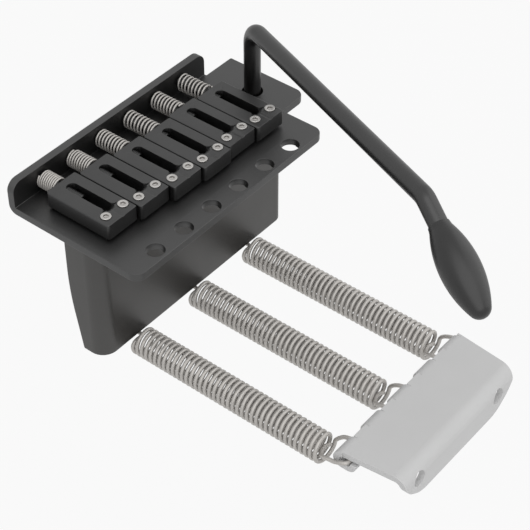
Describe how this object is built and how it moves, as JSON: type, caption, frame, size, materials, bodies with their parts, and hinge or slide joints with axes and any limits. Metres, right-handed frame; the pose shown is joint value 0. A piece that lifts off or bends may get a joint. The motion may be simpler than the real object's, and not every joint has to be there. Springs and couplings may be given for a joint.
{
  "type": "guitar tremolo bridge",
  "caption": "Six-screw guitar tremolo bridge with block saddles on a bent plate, a solid block, a bent arm with a barrel tip, and tension springs hooked to a spring claw.",
  "frame": {"origin": "middle of the row of six mounting holes, on the base plate's underside", "axes": "+X towards the arm's side, +Y towards the lip and the guitar's tail, +Z away from the guitar's body"},
  "size_m": [0.0829, 0.1279, 0.0806],
  "materials": {
    "black_metal": "satin",
    "black_screw": "satin",
    "black_rod": "semi-gloss",
    "tip_plastic": "gloss",
    "nickel": "bright",
    "spring_wire": "bright drawn wire",
    "claw_sheet": "satin nickel"
  },
  "bodies": {
    "claw": {"spring_claw": "claw_sheet", "tension_spring_1": "spring_wire", "tension_spring_2": "spring_wire", "tension_spring_3": "spring_wire"},
    "bridge": {"base_plate": "black_metal", "tremolo_block": "black_metal", "block_screws": "black_screw", "arm_spring": "spring_wire"},
    "arm": {"tremolo_arm": "black_rod", "arm_tip": "tip_plastic"},
    "tilt_1": {"saddle_spring_1": "spring_wire"},
    "saddle_1": {"saddle_1": "black_metal"},
    "height_1": {"height_screws_1": "nickel"},
    "intonation_1": {"intonation_screw_1": "black_screw"},
    "tilt_2": {"saddle_spring_2": "spring_wire"},
    "saddle_2": {"saddle_2": "black_metal"},
    "height_2": {"height_screws_2": "nickel"},
    "intonation_2": {"intonation_screw_2": "black_screw"},
    "tilt_3": {"saddle_spring_3": "spring_wire"},
    "saddle_3": {"saddle_3": "black_metal"},
    "height_3": {"height_screws_3": "nickel"},
    "intonation_3": {"intonation_screw_3": "black_screw"},
    "tilt_4": {"saddle_spring_4": "spring_wire"},
    "saddle_4": {"saddle_4": "black_metal"},
    "height_4": {"height_screws_4": "nickel"},
    "intonation_4": {"intonation_screw_4": "black_screw"},
    "tilt_5": {"saddle_spring_5": "spring_wire"},
    "saddle_5": {"saddle_5": "black_metal"},
    "height_5": {"height_screws_5": "nickel"},
    "intonation_5": {"intonation_screw_5": "black_screw"},
    "tilt_6": {"saddle_spring_6": "spring_wire"},
    "saddle_6": {"saddle_6": "black_metal"},
    "height_6": {"height_screws_6": "nickel"},
    "intonation_6": {"intonation_screw_6": "black_screw"}
  },
  "joints": [
    {"name": "bridge_rock", "type": "hinge", "parent": "claw", "child": "bridge", "pos_m": [0, 0, 0], "axis": [1, 0, 0], "range_deg": [-4, 20], "stiffness_Nm_per_rad": 6.5, "deforming": ["tension_spring_1", "tension_spring_2", "tension_spring_3"]},
    {"name": "arm_swing", "type": "hinge", "parent": "bridge", "child": "arm", "pos_m": [0.0384, 0.0225, 0], "axis": [0, 0, 1], "range_deg": [-110, 140]},
    {"name": "saddle_1_tilt", "type": "hinge", "parent": "bridge", "child": "tilt_1", "pos_m": [-0.02625, 0.0385, 0.0053], "axis": [-1, 0, 0], "range_deg": [-1, 2.5]},
    {"name": "saddle_1_slide", "type": "slide", "parent": "tilt_1", "child": "saddle_1", "axis": [0, -1, 0], "range_m": [-0.0022, 0.004], "deforming": ["saddle_spring_1"]},
    {"name": "height_1_travel", "type": "slide", "parent": "saddle_1", "child": "height_1", "axis": [0, 0, -1], "range_m": [-0.00055, 0.0013]},
    {"name": "intonation_1_turn", "type": "hinge", "parent": "tilt_1", "child": "intonation_1", "pos_m": [-0.02625, 0.0385, 0.0053], "axis": [0, 1, 0], "range_deg": [-1585, 2881]},
    {"name": "saddle_2_tilt", "type": "hinge", "parent": "bridge", "child": "tilt_2", "pos_m": [-0.01575, 0.0385, 0.0053], "axis": [-1, 0, 0], "range_deg": [-1, 2.5]},
    {"name": "saddle_2_slide", "type": "slide", "parent": "tilt_2", "child": "saddle_2", "axis": [0, -1, 0], "range_m": [-0.0034, 0.0037], "deforming": ["saddle_spring_2"]},
    {"name": "height_2_travel", "type": "slide", "parent": "saddle_2", "child": "height_2", "axis": [0, 0, -1], "range_m": [-0.00055, 0.0013]},
    {"name": "intonation_2_turn", "type": "hinge", "parent": "tilt_2", "child": "intonation_2", "pos_m": [-0.01575, 0.0385, 0.0053], "axis": [0, 1, 0], "range_deg": [-2449, 2665]},
    {"name": "saddle_3_tilt", "type": "hinge", "parent": "bridge", "child": "tilt_3", "pos_m": [-0.00525, 0.0385, 0.0053], "axis": [-1, 0, 0], "range_deg": [-1, 2.5]},
    {"name": "saddle_3_slide", "type": "slide", "parent": "tilt_3", "child": "saddle_3", "axis": [0, -1, 0], "range_m": [-0.004, 0.0022], "deforming": ["saddle_spring_3"]},
    {"name": "height_3_travel", "type": "slide", "parent": "saddle_3", "child": "height_3", "axis": [0, 0, -1], "range_m": [-0.00055, 0.0013]},
    {"name": "intonation_3_turn", "type": "hinge", "parent": "tilt_3", "child": "intonation_3", "pos_m": [-0.00525, 0.0385, 0.0053], "axis": [0, 1, 0], "range_deg": [-2881, 1585]},
    {"name": "saddle_4_tilt", "type": "hinge", "parent": "bridge", "child": "tilt_4", "pos_m": [0.00525, 0.0385, 0.0053], "axis": [-1, 0, 0], "range_deg": [-1, 2.5]},
    {"name": "saddle_4_slide", "type": "slide", "parent": "tilt_4", "child": "saddle_4", "axis": [0, -1, 0], "range_m": [-0.004, 0.0013], "deforming": ["saddle_spring_4"]},
    {"name": "height_4_travel", "type": "slide", "parent": "saddle_4", "child": "height_4", "axis": [0, 0, -1], "range_m": [-0.00055, 0.0013]},
    {"name": "intonation_4_turn", "type": "hinge", "parent": "tilt_4", "child": "intonation_4", "pos_m": [0.00525, 0.0385, 0.0053], "axis": [0, 1, 0], "range_deg": [-2881, 937]},
    {"name": "saddle_5_tilt", "type": "hinge", "parent": "bridge", "child": "tilt_5", "pos_m": [0.01575, 0.0385, 0.0053], "axis": [-1, 0, 0], "range_deg": [-1, 2.5]},
    {"name": "saddle_5_slide", "type": "slide", "parent": "tilt_5", "child": "saddle_5", "axis": [0, -1, 0], "range_m": [-0.004, 0.002], "deforming": ["saddle_spring_5"]},
    {"name": "height_5_travel", "type": "slide", "parent": "saddle_5", "child": "height_5", "axis": [0, 0, -1], "range_m": [-0.00055, 0.0013]},
    {"name": "intonation_5_turn", "type": "hinge", "parent": "tilt_5", "child": "intonation_5", "pos_m": [0.01575, 0.0385, 0.0053], "axis": [0, 1, 0], "range_deg": [-2881, 1441]},
    {"name": "saddle_6_tilt", "type": "hinge", "parent": "bridge", "child": "tilt_6", "pos_m": [0.02625, 0.0385, 0.0053], "axis": [-1, 0, 0], "range_deg": [-1, 2.5]},
    {"name": "saddle_6_slide", "type": "slide", "parent": "tilt_6", "child": "saddle_6", "axis": [0, -1, 0], "range_m": [-0.004, 0.0012], "deforming": ["saddle_spring_6"]},
    {"name": "height_6_travel", "type": "slide", "parent": "saddle_6", "child": "height_6", "axis": [0, 0, -1], "range_m": [-0.00055, 0.0013]},
    {"name": "intonation_6_turn", "type": "hinge", "parent": "tilt_6", "child": "intonation_6", "pos_m": [0.02625, 0.0385, 0.0053], "axis": [0, 1, 0], "range_deg": [-2881, 865]}
  ],
  "couplings": [
    {"joint": "height_1_travel", "follows": "saddle_1_tilt", "m_per_rad": 0.0255},
    {"joint": "intonation_1_turn", "follows": "saddle_1_slide", "rad_per_m": 12566},
    {"joint": "height_2_travel", "follows": "saddle_2_tilt", "m_per_rad": 0.0267},
    {"joint": "intonation_2_turn", "follows": "saddle_2_slide", "rad_per_m": 12566},
    {"joint": "height_3_travel", "follows": "saddle_3_tilt", "m_per_rad": 0.0283},
    {"joint": "intonation_3_turn", "follows": "saddle_3_slide", "rad_per_m": 12566},
    {"joint": "height_4_travel", "follows": "saddle_4_tilt", "m_per_rad": 0.0292},
    {"joint": "intonation_4_turn", "follows": "saddle_4_slide", "rad_per_m": 12566},
    {"joint": "height_5_travel", "follows": "saddle_5_tilt", "m_per_rad": 0.02845},
    {"joint": "intonation_5_turn", "follows": "saddle_5_slide", "rad_per_m": 12566},
    {"joint": "height_6_travel", "follows": "saddle_6_tilt", "m_per_rad": 0.02925},
    {"joint": "intonation_6_turn", "follows": "saddle_6_slide", "rad_per_m": 12566}
  ]
}
